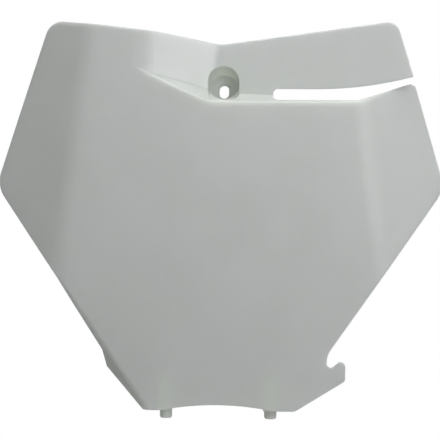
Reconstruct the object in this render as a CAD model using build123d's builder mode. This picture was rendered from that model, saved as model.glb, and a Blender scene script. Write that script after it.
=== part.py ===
from build123d import *
import os
from math import asin, cos, degrees, radians, sin, tan

# Frame: +Z up, front face towards -Y, origin where the screw boss meets its bracket.

# Moulded wall
WALL = 2.8
EDGE_ROUND = 0.7

# Front face: a bowed and crowned middle panel with a wing bent back on each side
FRONT_REACH = 34.0
BOW_RADIUS = 1250.0
BOW_DROP = 84.0
CROWN_RADIUS = 950.0
PANEL_LEFT_HALF = 82.0
PANEL_RIGHT_HALF = 84.0
CREASE_SPREAD = 7.0
WING_ANGLE = 30.0
WING_BEND = 30.0

# Outline of the upper half, seen from the front
TOP_LEFT_HALF = 111.2
TOP_LEFT_RISE = 44.9
TOP_LEFT_ROUND = 11.0
TOP_RIGHT_HALF = 113.3
TOP_RIGHT_RISE = 45.6
TOP_RIGHT_ROUND = 8.0
DIP_RISE = 29.4
DIP_ROUND = 24.0
SHOULDER_HALF = 40.0
SHOULDER_RISE = 36.6
SHOULDER_ROUND = 60.0
TIP_LEFT_HALF = 146.8
TIP_RIGHT_HALF = 145.5
TIP_DROP = 62.5
TIP_ROUND = 18.5

# Outline of the lower half: straight edges from the wings to the bottom
ELBOW_HALF = 103.4
ELBOW_DROP = 121.2
ELBOW_ROUND = 40.0
BOTTOM_HALF = 44.3
BOTTOM_DROP = 205.7
ARCH_HALF = 36.4
ARCH_RISE = 3.8

# Flange bent back along the lower left edge, with an ear near its lower end
FLANGE_ANGLE = 65.0
FLANGE_ROUND = 4.0
FLANGE_FOOT = 2.9
EAR_WIDTH = 7.6
EAR_HEIGHT = 26.7
EAR_LENGTH = 11.5
EAR_ROOT = 2.7
EAR_ROUND = 2.0

# Hose hook at the lower right
NECK_HEIGHT = 36.2
NECK_ROUND = 14.0
NOTCH_GAP = 7.8
NOTCH_HEIGHT = 25.1
NOTCH_ROUND = 2.8
HOOK_RUN = 11.9
HOOK_RISE = 10.4
HOOK_TIP_ROUND = 3.0
HOOK_BACK = 15.7
HEEL_ROUND = 3.0
TOE_HALF = 49.5
TOE_ROUND = 5.0

# Set-back strip across the top right, reached by a sloping wall on its left
LEDGE_DROP = 8.0
LEDGE_ANGLE = 19.8
LEDGE_LEFT_ANGLE = 27.5
LEDGE_BREAK_HALF = 8.0
LEDGE_SLANT = 23.5
LEDGE_BREAK_ROUND = 14.0
LEDGE_TILT = 0.7
LEDGE_RISE_HALF = 88.0
LEDGE_RISE_SLANT = 14.0
LEDGE_RISE_ROUND = 20.0
STRIP_LEAN = 8.0
STRIP_SETBACK = 15.0
SCOOP_HALF = 51.5
SCOOP_ANGLE = 18.5
SCOOP_LEAN = 5.0
SCOOP_ROUND = 20.0
SCOOP_EDGE_ROUND = 36.0

# Hose slit between the strip and the panel, open at the right
SLIT_START = 34.0
SLIT_LIFT = 1.2
SLIT_HEIGHT = 7.8
SLIT_END_ROUND = 3.2
SLIT_LOWER_BREAK = 88.4
SLIT_LOWER_SLOPE = 19.2
SLIT_LOWER_ROUND = 6.0
SLIT_UPPER_BREAK = 92.0
SLIT_UPPER_SLOPE = 14.6
SLIT_UPPER_ROUND = 240.0
SLIT_MOUTH_CUT = 2.6

# Screw boss with a counterbored slot
BOSS_SIDE = 2.0
BOSS_DIP = 20.0
BOSS_WALL = 2.8
SEAT_FLOOR = 3.0
COUNTERBORE_RADIUS = 10.0
MOUTH_DROP = 8.0
MOUTH_START = 7.0
SLOT_WIDTH = 6.2
SLOT_LENGTH = 9.6
SLOT_DROP = 1.0
SLOT_CHAMFER = 1.3

# Two locating pins under the bottom edge, each on a lug
PIN_RADIUS = 4.0
PIN_SPACING = 67.6
PIN_SHOWING = 6.6
PIN_TIP_ROUND = 1.6
PIN_GAP = 12.0
LUG_WIDTH = 9.0
LUG_HEIGHT = 14.0
LUG_RAMP = 12.0
LUG_REACH = 1.5

# Room that the blocks below keep beyond the outline
MARGIN = 25.0

BOTTOM = -BOTTOM_DROP
LEDGE = -LEDGE_DROP
SLIT = LEDGE + SLIT_LIFT
SLIT_TOP = SLIT + SLIT_HEIGHT
SLIT_OUT = TOP_RIGHT_HALF + MARGIN
SLIT_LOWER_OUT = SLIT + (SLIT_OUT - SLIT_LOWER_BREAK) * tan(radians(SLIT_LOWER_SLOPE))
SLIT_UPPER_OUT = SLIT_TOP + (SLIT_OUT - SLIT_UPPER_BREAK) * tan(radians(SLIT_UPPER_SLOPE))
BLOCK_BACK = FRONT_REACH + MARGIN
WIDE = TIP_LEFT_HALF + MARGIN
HIGH = TOP_RIGHT_RISE + MARGIN
LOW = BOTTOM - MARGIN


def front_at(height, half=0):
    """Depth of the panel's front face at a height and a distance from its middle line."""
    bow = (height + BOW_DROP) ** 2 / (2 * BOW_RADIUS)
    crown = half ** 2 / (2 * CROWN_RADIUS)
    return bow + crown - FRONT_REACH


def lower_edge(height):
    """Half width of the panel's straight lower edge, at a height above the bottom."""
    return BOTTOM_HALF + (ELBOW_HALF - BOTTOM_HALF) * height / (BOTTOM_DROP - ELBOW_DROP)


def front_block(inset):
    """Everything behind the front face, moved back into the wall by inset."""
    with BuildPart() as block:
        for height in (LOW, -BOW_DROP, HIGH):
            with BuildSketch(Plane.XY.offset(height)):
                with BuildLine():
                    for side, half in ((1, PANEL_RIGHT_HALF), (-1, PANEL_LEFT_HALF)):
                        bend_start = half - tan(radians(CREASE_SPREAD)) * height
                        sweep = degrees(asin(bend_start / CROWN_RADIUS))
                        crown = JernArc((0, front_at(height)), (side, 0), CROWN_RADIUS, side * sweep)
                        bend = JernArc(crown @ 1, crown % 1, WING_BEND, side * (WING_ANGLE - sweep))
                        wing = PolarLine(bend @ 1, WIDE, direction=bend % 1)
                        Polyline(wing @ 1, ((wing @ 1).X, 2 * BLOCK_BACK), (0, 2 * BLOCK_BACK))
                make_face()
                if inset:
                    offset(amount=-inset, kind=Kind.INTERSECTION)
        loft()
    return block.part


def strip_block(inset):
    """Everything behind the set-back strip and the sloping wall on its left."""
    rise = tan(radians(SCOOP_ANGLE))
    with BuildPart() as block:
        for height in (LEDGE - MARGIN, HIGH + MARGIN):
            scoop_y = front_at(LEDGE) + (height - LEDGE) * tan(radians(SCOOP_LEAN))
            strip_y = front_at(LEDGE) + STRIP_SETBACK + (height - LEDGE) * tan(radians(STRIP_LEAN))
            with BuildSketch(Plane.XY.offset(height)):
                with BuildLine():
                    FilletPolyline(
                        (-WIDE, scoop_y + (SCOOP_HALF - WIDE) * rise),
                        ((strip_y - scoop_y) / rise - SCOOP_HALF, strip_y),
                        (WIDE, strip_y),
                        (WIDE, 2 * BLOCK_BACK),
                        (-WIDE, 2 * BLOCK_BACK),
                        radius=(0, SCOOP_ROUND, 0, 0, 0),
                        close=True,
                    )
                make_face()
                if inset:
                    offset(amount=-inset, kind=Kind.INTERSECTION)
        loft(ruled=True)
    return block.part


def above_ledge(inset):
    """Everything above the ledge that steps back from the panel to the strip."""
    slant = radians(LEDGE_SLANT)
    rise_slant = radians(LEDGE_RISE_SLANT)
    slope = radians(LEDGE_ANGLE)
    left_slope = radians(LEDGE_LEFT_ANGLE)
    fall = tan(radians(LEDGE_TILT))
    with BuildPart() as block:
        for depth in (-MARGIN, 2 * BLOCK_BACK):
            lift = depth * tan(slope) - inset / cos(slope)
            left_lift = depth * tan(left_slope) - inset / cos(left_slope)
            break_x = (left_lift / cos(slant) - lift) / tan(slant) - LEDGE_BREAK_HALF
            rise_x = LEDGE_RISE_HALF - lift * tan(rise_slant / 2)
            break_z = LEDGE + lift - (break_x + LEDGE_BREAK_HALF) * fall
            rise_z = LEDGE + lift - (rise_x + LEDGE_BREAK_HALF) * fall
            with BuildSketch(Plane.XZ.offset(-front_at(LEDGE) - depth)):
                with BuildLine():
                    FilletPolyline(
                        (WIDE, rise_z + (WIDE - rise_x) * tan(rise_slant)),
                        (rise_x, rise_z),
                        (break_x, break_z),
                        (-WIDE, break_z + (WIDE + break_x) * tan(slant)),
                        (-WIDE, HIGH + WIDE),
                        (WIDE, HIGH + WIDE),
                        radius=(0, LEDGE_RISE_ROUND, LEDGE_BREAK_ROUND, 0, 0, 0),
                        close=True,
                    )
                make_face()
        loft(ruled=True)
    return block.part


def flange_plane(inset):
    """Outer plane of the flange, through the crease of the lower left edge."""
    crease = Vector(ELBOW_HALF - BOTTOM_HALF, 0, ELBOW_DROP - BOTTOM_DROP).normalized()
    outward = Vector(crease.Z, 0, -crease.X)
    turn = radians(FLANGE_ANGLE)
    normal = outward * sin(turn) - Vector(0, cos(turn), 0)
    middle = (BOTTOM_DROP - ELBOW_DROP) / 2
    half = lower_edge(middle)
    depth = front_at(BOTTOM + middle, half)
    return Plane((-half, depth, BOTTOM + middle), x_dir=crease, z_dir=normal).offset(-inset)


def scoop_edge():
    """Point on the edge where the sloping wall leaves the front face."""
    return (-SCOOP_HALF, front_at(SHOULDER_RISE, SCOOP_HALF), SHOULDER_RISE)


def board_block(inset):
    """The board's front form as a solid block, with the recess and the flange."""
    front = front_block(inset)
    strip = strip_block(inset)
    with BuildPart() as recess:
        add(above_ledge(inset))
        add(strip, mode=Mode.SUBTRACT)
    with BuildPart() as strip_end:
        with BuildSketch(Plane.XZ.offset(-2 * BLOCK_BACK)):
            with BuildLine():
                Polyline(
                    (PANEL_RIGHT_HALF, (SLIT + SLIT_TOP) / 2),
                    (SLIT_OUT, (SLIT_LOWER_OUT + SLIT_UPPER_OUT) / 2),
                    (SLIT_OUT, HIGH),
                    (PANEL_RIGHT_HALF, HIGH),
                    close=True,
                )
            make_face()
        extrude(amount=3 * BLOCK_BACK)
        add(strip, mode=Mode.INTERSECT)
    with BuildPart() as block:
        add(front)
        add(recess.part, mode=Mode.SUBTRACT)
        add(strip_end.part)
        split(bisect_by=flange_plane(inset), keep=Keep.BOTTOM)
        fillet(block.edges().sort_by_distance(scoop_edge())[0], SCOOP_EDGE_ROUND - inset)
        fillet(block.edges().sort_by_distance(flange_plane(inset).origin)[0], FLANGE_ROUND - inset)
    return block.part


def flange_point(height, width):
    """Point on the flange's outline, by height above the bottom and width out from the crease."""
    crease_turn = (ELBOW_HALF - BOTTOM_HALF) / (BOTTOM_DROP - ELBOW_DROP)
    stretch = (1 + crease_turn ** 2) ** 0.5
    return (-lower_edge(height) - width * stretch, BOTTOM + height)


def front_rim(block):
    """Edges where the outline cuts the front face, apart from those of the hose slit."""
    walls = block.faces().filter_by(lambda face: face.bounding_box().max.Y > FRONT_REACH)
    rim = walls.edges().filter_by(lambda edge: edge.bounding_box().max.Y < FRONT_REACH)
    slit = rim.filter_by_position(Axis.X, SLIT_START - SLIT_HEIGHT, WIDE)
    slit = slit.filter_by_position(Axis.Z, LEDGE - SLIT_HEIGHT, LEDGE + 3 * SLIT_HEIGHT)
    return [edge for edge in rim if edge not in slit]


outer = board_block(0)
inner = board_block(WALL)

notch = (lower_edge(NOTCH_HEIGHT) + NOTCH_GAP, BOTTOM + NOTCH_HEIGHT)
hook_tip = (notch[0] + HOOK_RUN, notch[1] + HOOK_RISE)
heel = (hook_tip[0], hook_tip[1] - HOOK_BACK)

with BuildPart() as outline:
    with BuildSketch(Plane.XZ.offset(-BLOCK_BACK)) as face:
        with BuildLine():
            edge = FilletPolyline(
                (ARCH_HALF, BOTTOM),
                (TOE_HALF, BOTTOM),
                heel,
                hook_tip,
                notch,
                (lower_edge(NECK_HEIGHT), BOTTOM + NECK_HEIGHT),
                (ELBOW_HALF, -ELBOW_DROP),
                (TIP_RIGHT_HALF, -TIP_DROP),
                (TOP_RIGHT_HALF, TOP_RIGHT_RISE),
                (0, DIP_RISE),
                (-SHOULDER_HALF, SHOULDER_RISE),
                (-TOP_LEFT_HALF, TOP_LEFT_RISE),
                (-TIP_LEFT_HALF, -TIP_DROP),
                (-ELBOW_HALF, -ELBOW_DROP),
                flange_point(EAR_HEIGHT + EAR_LENGTH, EAR_ROOT),
                flange_point(EAR_HEIGHT, EAR_WIDTH),
                flange_point(0, FLANGE_FOOT),
                (-ARCH_HALF, BOTTOM),
                radius=(
                    TOE_ROUND,
                    HEEL_ROUND,
                    HOOK_TIP_ROUND,
                    NOTCH_ROUND,
                    NECK_ROUND,
                    ELBOW_ROUND,
                    TIP_ROUND,
                    TOP_RIGHT_ROUND,
                    DIP_ROUND,
                    SHOULDER_ROUND,
                    TOP_LEFT_ROUND,
                    TIP_ROUND,
                    ELBOW_ROUND,
                    EAR_ROUND,
                    EAR_ROUND,
                    EAR_ROUND,
                ),
            )
            ThreePointArc(edge @ 1, (0, BOTTOM + ARCH_RISE), edge @ 0)
        make_face()
        with BuildLine():
            FilletPolyline(
                (SLIT_START, SLIT),
                (SLIT_LOWER_BREAK, SLIT),
                (SLIT_OUT, SLIT_LOWER_OUT),
                (SLIT_OUT, SLIT_UPPER_OUT),
                (SLIT_UPPER_BREAK, SLIT_TOP),
                (SLIT_START, SLIT_TOP),
                radius=(SLIT_END_ROUND, SLIT_LOWER_ROUND, 0, 0, SLIT_UPPER_ROUND, SLIT_END_ROUND),
                close=True,
            )
        make_face(mode=Mode.SUBTRACT)
        slit_corners = face.vertices().filter_by_position(Axis.Y, LEDGE, DIP_RISE)
        chamfer(slit_corners.sort_by(Axis.X)[-1], SLIT_MOUTH_CUT)
    extrude(amount=2 * BLOCK_BACK)

dip = radians(BOSS_DIP)
seat = Plane((BOSS_SIDE, 0, 0), x_dir=(1, 0, 0), z_dir=(0, -cos(dip), sin(dip)))
floor = seat.offset(SEAT_FLOOR)

with BuildPart() as boss:
    with BuildSketch(seat):
        Circle(COUNTERBORE_RADIUS + BOSS_WALL)
    extrude(amount=2 * FRONT_REACH)
    with BuildSketch(floor.offset(MOUTH_START - BOSS_WALL)):
        with Locations((0, -MOUTH_DROP / 2)):
            SlotCenterToCenter(MOUTH_DROP, 2 * (COUNTERBORE_RADIUS + BOSS_WALL), rotation=90)
    extrude(amount=2 * FRONT_REACH)
    add(outer, mode=Mode.INTERSECT)

pin_half = PIN_SPACING / 2
pin_depth = front_at(BOTTOM, pin_half) + WALL + PIN_GAP + PIN_RADIUS
lug_top = BOTTOM + LUG_HEIGHT + LUG_RAMP
with BuildPart() as lugs:
    for pin_x in (-pin_half, pin_half):
        with BuildSketch(Plane.YZ.offset(pin_x - LUG_WIDTH / 2)):
            with BuildLine():
                Polyline(
                    (front_at(BOTTOM, pin_half) + WALL / 2, BOTTOM),
                    (pin_depth + PIN_RADIUS + LUG_REACH, BOTTOM),
                    (pin_depth + PIN_RADIUS + LUG_REACH, BOTTOM + LUG_HEIGHT),
                    (front_at(lug_top, pin_half) + WALL / 2, lug_top),
                    close=True,
                )
            make_face()
        extrude(amount=LUG_WIDTH)
        with BuildSketch(Plane((pin_x, pin_depth, BOTTOM - PIN_SHOWING))):
            Circle(PIN_RADIUS)
        extrude(amount=PIN_SHOWING + LUG_HEIGHT)
    pin_tips = lugs.edges().filter_by(GeomType.CIRCLE).group_by(Axis.Z)[0]
    fillet(pin_tips, PIN_TIP_ROUND)

with BuildPart() as number_board:
    add(outer)
    add(outline.part, mode=Mode.INTERSECT)
    fillet(front_rim(number_board.part), EDGE_ROUND)
    add(inner, mode=Mode.SUBTRACT)
    add(boss.part)
    add(lugs.part)
    with BuildSketch(floor):
        Circle(COUNTERBORE_RADIUS)
    extrude(amount=2 * FRONT_REACH, mode=Mode.SUBTRACT)
    with BuildSketch(floor.offset(MOUTH_START)):
        with Locations((0, -MOUTH_DROP / 2)):
            SlotCenterToCenter(MOUTH_DROP, 2 * COUNTERBORE_RADIUS, rotation=90)
    extrude(amount=2 * FRONT_REACH, mode=Mode.SUBTRACT)
    with BuildSketch(seat):
        with Locations((0, -SLOT_DROP)):
            SlotOverall(SLOT_LENGTH, SLOT_WIDTH, rotation=90)
    extrude(amount=SEAT_FLOOR, mode=Mode.SUBTRACT)
    with BuildSketch(floor.offset(-SLOT_CHAMFER)):
        with Locations((0, -SLOT_DROP)):
            SlotOverall(SLOT_LENGTH, SLOT_WIDTH, rotation=90)
    with BuildSketch(floor):
        with Locations((0, -SLOT_DROP)):
            SlotOverall(SLOT_LENGTH + 2 * SLOT_CHAMFER, SLOT_WIDTH + 2 * SLOT_CHAMFER, rotation=90)
    loft(mode=Mode.SUBTRACT)

number_board.part.label = "number_board"
os.makedirs("parts", exist_ok=True)
export_step(number_board.part, "parts/number_board.step")
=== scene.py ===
"""A moulded off-road number board in satin white plastic, in plain studio light."""

import logging
import math
from dataclasses import dataclass
from enum import Enum
from typing import Any, Mapping, Sequence, TypeAlias

import bpy
from mathutils import Euler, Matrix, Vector


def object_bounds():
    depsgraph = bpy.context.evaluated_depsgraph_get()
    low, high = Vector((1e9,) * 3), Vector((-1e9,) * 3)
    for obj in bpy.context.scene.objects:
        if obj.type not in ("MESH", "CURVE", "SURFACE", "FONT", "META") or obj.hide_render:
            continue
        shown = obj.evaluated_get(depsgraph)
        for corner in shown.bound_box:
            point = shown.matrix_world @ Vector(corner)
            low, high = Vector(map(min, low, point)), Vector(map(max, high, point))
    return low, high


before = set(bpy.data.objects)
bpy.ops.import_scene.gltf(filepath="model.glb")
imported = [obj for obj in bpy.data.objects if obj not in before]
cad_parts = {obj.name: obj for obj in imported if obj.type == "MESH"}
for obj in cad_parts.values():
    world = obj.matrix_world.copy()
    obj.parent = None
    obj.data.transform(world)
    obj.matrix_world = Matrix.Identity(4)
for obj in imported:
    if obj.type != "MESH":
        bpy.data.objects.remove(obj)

CAD_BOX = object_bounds()
LOG = logging.getLogger("number_board")

Colour: TypeAlias = tuple[float, float, float]
Triple: TypeAlias = tuple[float, float, float]
Span: TypeAlias = tuple[float, float]
Socket: TypeAlias = bpy.types.NodeSocket
Number: TypeAlias = "Value | float"

WHITE: Colour = (1.0, 1.0, 1.0)
FULL_STRENGTH = 1.0
NOISE_AVERAGE = 0.5
MIX_SHARE, MIX_FIRST, MIX_SECOND = 0, 6, 7
MIX_RESULT = 2


class Ray(Enum):
    """Rays that show the surroundings, by the socket that tells each."""

    CAMERA = "Is Camera Ray"
    GLOSSY = "Is Glossy Ray"
    TRANSMISSION = "Is Transmission Ray"


class Ending(Enum):
    """What a node graph ends in, by Blender's name of the node."""

    MATERIAL = "ShaderNodeOutputMaterial"
    WORLD = "ShaderNodeOutputWorld"


def opaque(colour: Colour) -> tuple[float, float, float, float]:
    """The colour with full cover, as a colour socket takes it."""
    return (*colour, 1.0)


@dataclass(frozen=True)
class Value:
    """A number that changes over a surface, written as a Python expression.

    Args:
        graph: The node graph that the number belongs to.
        socket: The output socket that gives it.
    """

    graph: "ShaderGraph"
    socket: Socket

    def _math(self, operation: str, first: Number, second: Number) -> "Value":
        """Adds one Math node and returns its result."""
        made = self.graph.node("ShaderNodeMath", {"operation": operation}, {0: first, 1: second})
        return made.value("Value")

    def __add__(self, other: Number) -> "Value":
        """Sum."""
        return self._math("ADD", self, other)

    __radd__ = __add__

    def __sub__(self, other: Number) -> "Value":
        """Difference."""
        return self._math("SUBTRACT", self, other)

    def __rsub__(self, other: Number) -> "Value":
        """Difference, from a plain number."""
        return self._math("SUBTRACT", other, self)

    def __mul__(self, other: Number) -> "Value":
        """Product."""
        return self._math("MULTIPLY", self, other)

    __rmul__ = __mul__

    def at_least(self, low: float) -> "Value":
        """The number, or low where it is less."""
        return self._math("MAXIMUM", self, low)

    def smooth(self, low: float, high: float) -> "Value":
        """Eases from 0 at low to 1 at high.

        Args:
            low: The number that gives 0.
            high: The number that gives 1.

        Returns:
            The eased number.
        """
        made = self.graph.node(
            "ShaderNodeMapRange",
            {"interpolation_type": "SMOOTHSTEP"},
            {"Value": self, "From Min": low, "From Max": high},
        )
        return made.value("Result")


@dataclass(frozen=True)
class Node:
    """A shader node and the sockets it gives.

    Args:
        graph: The node graph that it belongs to.
        raw: Blender's own node.
    """

    graph: "ShaderGraph"
    raw: bpy.types.ShaderNode

    def value(self, name: str) -> Value:
        """Output socket of that name, for maths."""
        return Value(self.graph, self.raw.outputs[name])

    def out(self, key: str | int) -> Socket:
        """Output socket of that name or place, for a plain link."""
        return self.raw.outputs[key]


@dataclass(frozen=True)
class Pattern:
    """Blotches of one size.

    Args:
        size: Breadth of one blotch, in metres.
        detail: How many finer layers it has.
    """

    size: float
    detail: float


class ShaderGraph:
    """The node tree of one material or of the world."""

    def __init__(self, owner: bpy.types.ID) -> None:
        """Empties the owner's node tree.

        Args:
            owner: The material or world that holds the nodes.
        """
        owner.use_nodes = True
        self.tree = owner.node_tree
        self.tree.nodes.clear()

    def node(
        self,
        kind: str,
        settings: Mapping[str, Any] | None = None,
        inputs: Mapping[str | int, Any] | None = None,
    ) -> Node:
        """Adds a node, sets it up and fills or links its sockets.

        Args:
            kind: Blender's name of the node type.
            settings: The node's own properties, set first.
            inputs: Values, sockets or Value numbers by socket name or place.

        Returns:
            The node.
        """
        raw = self.tree.nodes.new(kind)
        for name, setting in (settings or {}).items():
            setattr(raw, name, setting)
        for key, given in (inputs or {}).items():
            socket = raw.inputs[key]
            if isinstance(given, Value):
                self.tree.links.new(given.socket, socket)
            elif isinstance(given, Socket):
                self.tree.links.new(given, socket)
            else:
                socket.default_value = given
        return Node(self, raw)

    def place(self) -> Socket:
        """Place on the object, in its own frame."""
        return self.node("ShaderNodeTexCoord").out("Object")

    def across_and_up(self) -> tuple[Value, Value]:
        """Distance to the right of the middle line and height, in metres."""
        parts = self.node("ShaderNodeSeparateXYZ", inputs={"Vector": self.place()})
        return parts.value("X"), parts.value("Z")

    def noise(self, pattern: Pattern) -> Value:
        """Noise of a real size.

        Args:
            pattern: The size and detail of its blotches.

        Returns:
            The noise, about 0.5 on average.
        """
        made = self.node(
            "ShaderNodeTexNoise",
            {"noise_dimensions": "3D"},
            {"Vector": self.place(), "Scale": 1.0 / pattern.size, "Detail": pattern.detail},
        )
        return made.value("Fac")

    def mix(self, share: Value, first: Colour | Socket, second: Colour | Socket) -> Socket:
        """Mixes two colours.

        Args:
            share: How much of the second colour is used.
            first: Colour or colour socket.
            second: Colour or colour socket.

        Returns:
            The mixed colour's socket.
        """
        ends = [opaque(end) if isinstance(end, tuple) else end for end in (first, second)]
        made = self.node(
            "ShaderNodeMix",
            {"data_type": "RGBA", "blend_type": "MIX"},
            {MIX_SHARE: share, MIX_FIRST: ends[0], MIX_SECOND: ends[1]},
        )
        return made.out(MIX_RESULT)

    def relief(self, height: Value, depth: float, normal: Socket) -> Socket:
        """Raises a fine pattern on a surface's shading.

        Args:
            height: The pattern, from 0 to 1.
            depth: From its lowest to its highest places, in metres.
            normal: The way that the surface faces without it.

        Returns:
            The way that the surface faces with it.
        """
        made = self.node(
            "ShaderNodeBump",
            inputs={
                "Normal": normal,
                "Strength": FULL_STRENGTH,
                "Distance": depth,
                "Height": height,
            },
        )
        return made.out("Normal")

    def mix_shaders(self, share: Value, first: Socket, second: Socket) -> Socket:
        """Mixes two shaders.

        Args:
            share: How much of the second shader is used.
            first: The first shader's socket.
            second: The second shader's socket.

        Returns:
            The mixed shader's socket.
        """
        made = self.node("ShaderNodeMixShader", inputs={0: share, 1: first, 2: second})
        return made.out("Shader")

    def surface(self, shader: Socket, ending: Ending = Ending.MATERIAL) -> None:
        """Ends the graph with a shader.

        Args:
            shader: The shader's socket.
            ending: What the graph ends in.
        """
        self.node(ending.value, inputs={"Surface": shader})


@dataclass(frozen=True)
class SmoothRecess:
    """The set-back strip and its sloping wall, which left the mould smoother than the panel.

    Args:
        left: Left end of the wall, from the middle line, in metres.
        fade: Half width over which the finish changes there.
        ledge: Height of the ledge's front edge.
        corner: Where the edge starts to rise towards the left, from the middle line.
        slope: How fast it rises.
        lip: Half width over which the finish changes at the edge.
    """

    left: float = -0.054
    fade: float = 0.006
    ledge: float = -0.008
    corner: float = -0.008
    slope: float = 0.435
    lip: float = 0.001

    def cover(self, graph: ShaderGraph) -> Value:
        """1 inside the recess and 0 elsewhere.

        Args:
            graph: The plastic's node graph.

        Returns:
            The share of the smoother finish.
        """
        across, up = graph.across_and_up()
        edge = (self.corner - across).at_least(0.0) * self.slope + self.ledge
        inside = across.smooth(self.left - self.fade, self.left + self.fade)
        return inside * (up - edge).smooth(-self.lip, self.lip)


@dataclass(frozen=True)
class SatinPlastic:
    """Moulded white polypropylene with a fine grain, slight clouding and faint scuffs.

    Args:
        name: Name of the material.
        tone: Colour of the clean plastic.
        cloud_tone: Colour where it is cloudy.
        clouds: Size of the clouds.
        cloud_span: Noise at which a cloud starts and is full.
        scuff_tone: Colour of a scuff.
        scuffs: Size of the scuffs.
        scuff_span: Noise at which a scuff starts and is full.
        scuffed_clouds: Noise of the clouds at which scuffs start and are full.
        scuff_share: How much of its own colour a scuff shows.
        scuff_roughness: How much rougher a scuff is.
        roughness: Roughness of the panel.
        roughness_swing: How far the clouds change it.
        recess: Where the finish is smoother.
        recess_gloss: How much less rough it is there.
        grain: Size of the mould's grain.
        grain_height: Height of the grain, in metres.
        ripple: Size of the slow ripple in the surface.
        ripple_height: Height of the ripple, in metres.
        specular: Strength of the sheen.
        edge_round: Radius that the edges are shaded with, in metres.
        edge_samples: How finely that radius is felt for.
        depth: How far light goes into the plastic, in metres.
        depth_tone: Share of that depth for red, green and blue.
        depth_share: How much of the light goes in.
    """

    name: str = "satin_white_plastic"
    tone: Colour = (0.69, 0.735, 0.672)
    cloud_tone: Colour = (0.66, 0.702, 0.638)
    clouds: Pattern = Pattern(size=0.045, detail=3.0)
    cloud_span: Span = (0.35, 0.7)
    scuff_tone: Colour = (0.62, 0.65, 0.595)
    scuffs: Pattern = Pattern(size=0.006, detail=6.0)
    scuff_span: Span = (0.62, 0.78)
    scuffed_clouds: Span = (0.45, 0.65)
    scuff_share: float = 0.35
    scuff_roughness: float = 0.1
    roughness: float = 0.5
    roughness_swing: float = 0.12
    recess: SmoothRecess = SmoothRecess()
    recess_gloss: float = 0.17
    grain: Pattern = Pattern(size=0.0006, detail=2.0)
    grain_height: float = 0.00002
    ripple: Pattern = Pattern(size=0.03, detail=1.0)
    ripple_height: float = 0.00015
    specular: float = 0.66
    edge_round: float = 0.0012
    edge_samples: int = 6
    depth: float = 0.015
    depth_tone: Colour = (1.0, 0.98, 0.84)
    depth_share: float = 1.0

    def _colour(self, graph: ShaderGraph, cloud: Value, scuff: Value) -> Socket:
        """Colour over the surface.

        Args:
            graph: The plastic's node graph.
            cloud: Noise of the clouds.
            scuff: 1 on a scuff and 0 elsewhere.

        Returns:
            The colour's socket.
        """
        clouded = graph.mix(cloud.smooth(*self.cloud_span), self.tone, self.cloud_tone)
        return graph.mix(scuff * self.scuff_share, clouded, self.scuff_tone)

    def _roughness(self, graph: ShaderGraph, cloud: Value, scuff: Value) -> Value:
        """Roughness over the surface.

        Args:
            graph: The plastic's node graph.
            cloud: Noise of the clouds.
            scuff: 1 on a scuff and 0 elsewhere.

        Returns:
            The roughness.
        """
        swing = (cloud - NOISE_AVERAGE) * self.roughness_swing
        gloss = self.recess.cover(graph) * self.recess_gloss
        return self.roughness + swing + scuff * self.scuff_roughness - gloss

    def _normal(self, graph: ShaderGraph) -> Socket:
        """The way that the surface faces, with soft edges, ripple and grain.

        Args:
            graph: The plastic's node graph.

        Returns:
            The normal's socket.
        """
        edges = graph.node(
            "ShaderNodeBevel", {"samples": self.edge_samples}, {"Radius": self.edge_round}
        )
        rippled = graph.relief(graph.noise(self.ripple), self.ripple_height, edges.out("Normal"))
        return graph.relief(graph.noise(self.grain), self.grain_height, rippled)

    def build(self) -> bpy.types.Material:
        """Makes the material.

        Returns:
            The finished material.
        """
        material = bpy.data.materials.new(self.name)
        graph = ShaderGraph(material)
        cloud = graph.noise(self.clouds)
        speck = graph.noise(self.scuffs)
        scuff = speck.smooth(*self.scuff_span) * cloud.smooth(*self.scuffed_clouds)
        shader = graph.node(
            "ShaderNodeBsdfPrincipled",
            inputs={
                "Base Color": self._colour(graph, cloud, scuff),
                "Roughness": self._roughness(graph, cloud, scuff),
                "Normal": self._normal(graph),
                "Specular IOR Level": self.specular,
                "Subsurface Weight": self.depth_share,
                "Subsurface Radius": self.depth_tone,
                "Subsurface Scale": self.depth,
            },
        )
        graph.surface(shader.out("BSDF"))
        return material


@dataclass(frozen=True)
class NumberBoard:
    """The moulded board, as one piece.

    Args:
        node: Its name in the CAD model.
        finish: Its plastic.
    """

    node: str = "number_board"
    finish: SatinPlastic = SatinPlastic()

    def dress(self) -> bpy.types.Object:
        """Gives the board its plastic.

        Returns:
            The board's object.
        """
        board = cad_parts[self.node]
        board.data.materials.clear()
        board.data.materials.append(self.finish.build())
        return board


@dataclass(frozen=True)
class Softbox:
    """A round lamp that faces a point.

    Args:
        name: Name of the lamp.
        bearing: Direction from the point to the lamp.
        power: Strength, in watts.
        width: Width of the lamp, in metres.
        distance: How far away it is, in metres.
    """

    name: str
    bearing: Triple
    power: float
    width: float = 1.1
    distance: float = 1.9

    def hang(self, target: Vector) -> bpy.types.Object:
        """Puts the lamp in its place.

        Args:
            target: The point that it faces.

        Returns:
            The lamp.
        """
        data = bpy.data.lights.new(self.name, "AREA")
        data.shape = "DISK"
        data.size = self.width
        data.energy = self.power
        lamp = bpy.data.objects.new(self.name, data)
        bpy.context.scene.collection.objects.link(lamp)
        way = Vector(self.bearing).normalized()
        lamp.location = target + way * self.distance
        lamp.rotation_euler = way.to_track_quat("Z", "Y").to_euler()
        return lamp


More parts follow.
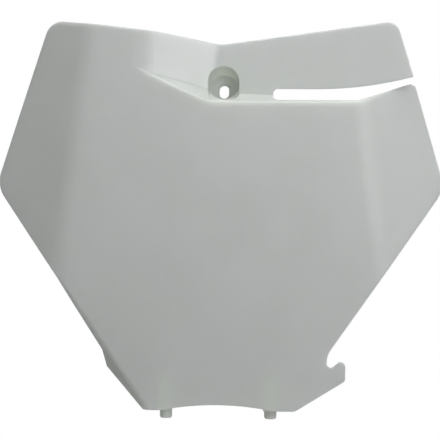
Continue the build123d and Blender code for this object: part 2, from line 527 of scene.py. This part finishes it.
@dataclass(frozen=True)
class Studio:
    """Floor, white surroundings and lamps.

    Args:
        middle: Middle of the board, which the lamps face.
        floor_drop: From the middle down to the floor, in metres.
        floor_width: Width of the floor, in metres.
        floor_tone: Colour of the floor.
        shadow_reach: How far from its middle the floor shows its own colour, in metres.
        white_reach: Where it is white to look at, in metres.
        ambient: Strength of the even light from all sides.
        lamps: The lamps.
    """

    middle: Vector
    floor_drop: float = 0.42
    floor_width: float = 12.0
    floor_tone: Colour = (0.72, 0.72, 0.72)
    shadow_reach: float = 0.7
    white_reach: float = 1.6
    ambient: float = 0.02
    lamps: tuple[Softbox, ...] = (
        Softbox("top", bearing=(0.0, -0.174, 0.985), power=20.6),
        Softbox("front_right", bearing=(0.575, -0.791, 0.208), power=11.3, width=0.9),
        Softbox("high_right", bearing=(0.557, -0.321, 0.766), power=6.4),
        Softbox("front", bearing=(-0.168, -0.951, 0.259), power=2.8),
    )

    def _seen(self, graph: ShaderGraph) -> Value:
        """1 for rays that show the surroundings, from the camera or in a gloss.

        Args:
            graph: The node graph of the floor or the world.

        Returns:
            The share of what is seen.
        """
        path = graph.node("ShaderNodeLightPath")
        camera, glossy, through = (path.value(ray.value) for ray in Ray)
        return (camera + glossy + through).smooth(0.0, 1.0)

    def _sky(self, graph: ShaderGraph, strength: float) -> Socket:
        """White light from all sides.

        Args:
            graph: The world's node graph.
            strength: Strength of the light.

        Returns:
            The light's socket.
        """
        made = graph.node(
            "ShaderNodeBackground", inputs={"Color": opaque(WHITE), "Strength": strength}
        )
        return made.out("Background")

    def _floor_finish(self) -> bpy.types.Material:
        """Makes a pale material that keeps the shadow and is white far off.

        Returns:
            The floor's material.
        """
        material = bpy.data.materials.new("pale_floor")
        graph = ShaderGraph(material)
        reach = graph.node("ShaderNodeVectorMath", {"operation": "LENGTH"}, {0: graph.place()})
        far = reach.value("Value").smooth(self.shadow_reach, self.white_reach)
        lit = graph.node("ShaderNodeBsdfDiffuse", inputs={"Color": opaque(self.floor_tone)})
        white = graph.node(
            "ShaderNodeEmission", inputs={"Color": opaque(WHITE), "Strength": FULL_STRENGTH}
        )
        share = far * self._seen(graph)
        graph.surface(graph.mix_shaders(share, lit.out("BSDF"), white.out("Emission")))
        return material

    def lay_floor(self) -> bpy.types.Object:
        """Lays the floor under the board.

        Returns:
            The floor.
        """
        bpy.ops.object.select_all(action="DESELECT")
        bpy.ops.mesh.primitive_plane_add(
            size=self.floor_width, location=self.middle - Vector((0.0, 0.0, self.floor_drop))
        )
        floor = bpy.context.object
        floor.name = "floor"
        floor.data.materials.append(self._floor_finish())
        return floor

    def fill_sky(self) -> None:
        """White to look at, and a low even light on the board."""
        world = bpy.data.worlds.new("white_room")
        bpy.context.scene.world = world
        graph = ShaderGraph(world)
        soft = self._sky(graph, self.ambient)
        white = self._sky(graph, FULL_STRENGTH)
        graph.surface(graph.mix_shaders(self._seen(graph), soft, white), Ending.WORLD)

    def light(self) -> list[bpy.types.Object]:
        """Hangs the lamps and returns them."""
        return [lamp.hang(self.middle) for lamp in self.lamps]


@dataclass(frozen=True)
class PhotoCamera:
    """Camera at the photograph's place.

    Args:
        aim: Point of the object at the middle of the picture, in metres.
        azimuth: Turn round the object, in degrees.
        elevation: Height above the horizon, in degrees.
        roll: Turn of the picture, in degrees.
        distance: From the camera to the aim, in metres.
        view_width: Width of the view at the aim, in metres.
        sensor: Width of the sensor, in millimetres.
        clip_ratio: How many times nearer and farther than the aim the camera sees.
    """

    aim: Triple = (0.00108, -0.032, -0.08373)
    azimuth: float = 2.2175
    elevation: float = 0.1707
    roll: float = 0.4848
    distance: float = 1.2065
    view_width: float = 0.27964
    sensor: float = 36.0
    clip_ratio: float = 100.0

    def _back(self) -> Vector:
        """Direction from the aim to the camera."""
        turn, rise = math.radians(self.azimuth), math.radians(self.elevation)
        level = math.cos(rise)
        return Vector((math.sin(turn) * level, -math.cos(turn) * level, math.sin(rise)))

    def place(self) -> bpy.types.Object:
        """Makes the camera the scene's own.

        Returns:
            The camera.
        """
        data = bpy.data.cameras.new("photo_camera")
        data.sensor_fit = "HORIZONTAL"
        data.sensor_width = self.sensor
        data.lens = self.sensor * self.distance / self.view_width
        data.clip_start = self.distance / self.clip_ratio
        data.clip_end = self.distance * self.clip_ratio
        camera = bpy.data.objects.new("photo_camera", data)
        bpy.context.scene.collection.objects.link(camera)
        back = self._back()
        camera.location = Vector(self.aim) + back * self.distance
        level = (-back).to_track_quat("-Z", "Y").to_matrix()
        roll = Euler((0.0, 0.0, math.radians(self.roll))).to_matrix()
        camera.rotation_euler = (level @ roll).to_euler()
        bpy.context.scene.camera = camera
        return camera


def main() -> None:
    """Builds the board's looks, the studio and the camera in order."""
    logging.basicConfig(level=logging.INFO)
    bpy.context.scene.view_settings.view_transform = "Standard"
    board = NumberBoard().dress()
    LOG.info("dressed %s", board.name)
    middle = (CAD_BOX[0] + CAD_BOX[1]) / 2
    studio = Studio(middle)
    LOG.info("laid %s", studio.lay_floor().name)
    studio.fill_sky()
    for lamp in studio.light():
        LOG.info("hung %s", lamp.name)
    camera = PhotoCamera().place()
    LOG.info("placed %s", camera.name)


if __name__ == "__main__":
    main()
